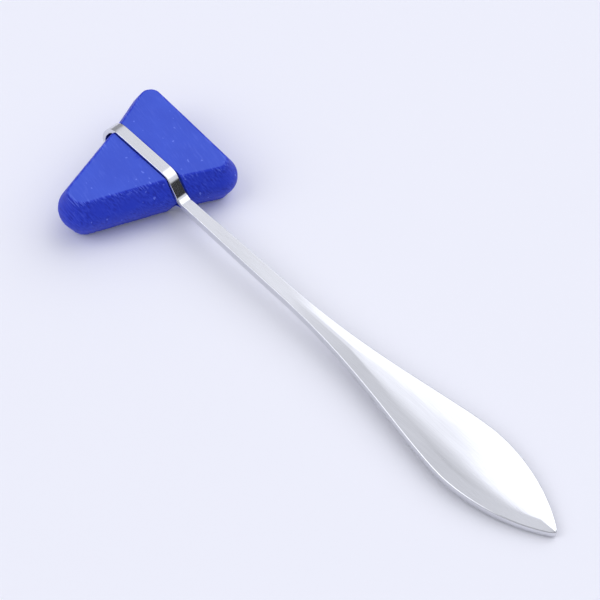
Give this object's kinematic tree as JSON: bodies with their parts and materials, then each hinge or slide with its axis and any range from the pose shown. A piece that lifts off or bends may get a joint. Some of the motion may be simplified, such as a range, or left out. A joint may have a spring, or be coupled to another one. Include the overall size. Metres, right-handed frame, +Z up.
{
  "type": "reflex hammer",
  "caption": "Tomahawk reflex hammer: a triangular solid rubber head gripped by a looped flat steel strap, on a slim steel handle that swells to a pointed leaf-shaped grip.",
  "frame": {"origin": "on the table, under the middle of the hammer's outer box as it lies at rest", "axes": "+X along the handle from the head to the pointed tip, +Y across it from the head's narrow apex to its broad base, +Z up from the table"},
  "size_m": [0.1987, 0.0538, 0.0185],
  "materials": {
    "head_rubber": "matte blue moulded rubber with fine tooling lines",
    "handle_steel": "satin-polished bright plated steel"
  },
  "bodies": {
    "root": {"rubber_head": "head_rubber", "upper_handle_half": "handle_steel", "lower_handle_half": "handle_steel"}
  },
  "joints": []
}
